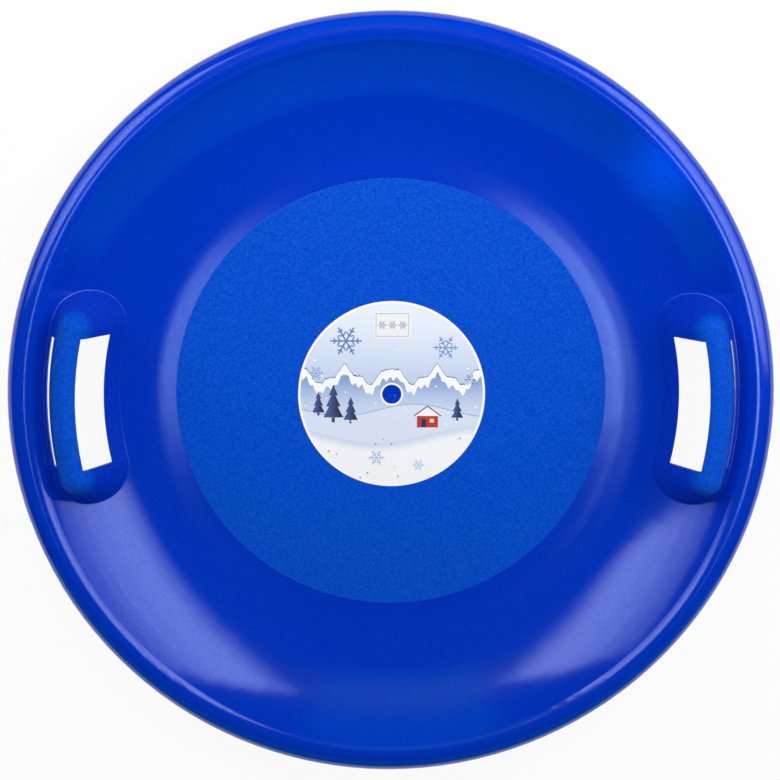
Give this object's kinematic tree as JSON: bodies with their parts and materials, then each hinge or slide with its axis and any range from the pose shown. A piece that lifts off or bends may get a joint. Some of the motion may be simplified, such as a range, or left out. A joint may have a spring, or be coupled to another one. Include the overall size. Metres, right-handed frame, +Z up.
{
  "type": "saucer sled",
  "caption": "Round one-piece plastic saucer sled with a flat textured seat, rising glossy wall, rolled rim, raised hollow hand grips on opposite sides and a paper label.",
  "frame": {"origin": "on the ground under the middle of the flat seat", "axes": "+Z up out of the dish, X through the two hand grips, +Y towards the edge with the small sticker"},
  "size_m": [0.6, 0.6, 0.0714],
  "materials": {
    "blue_plastic": "glossy moulded polyethylene, matte spark-eroded grain on the seat and grips",
    "label_paper": "coated paper print, satin",
    "sticker_paper": "matte white paper"
  },
  "bodies": {
    "root": {"saucer_shell": "blue_plastic", "round_label": "label_paper", "stock_sticker": "sticker_paper"}
  },
  "joints": []
}
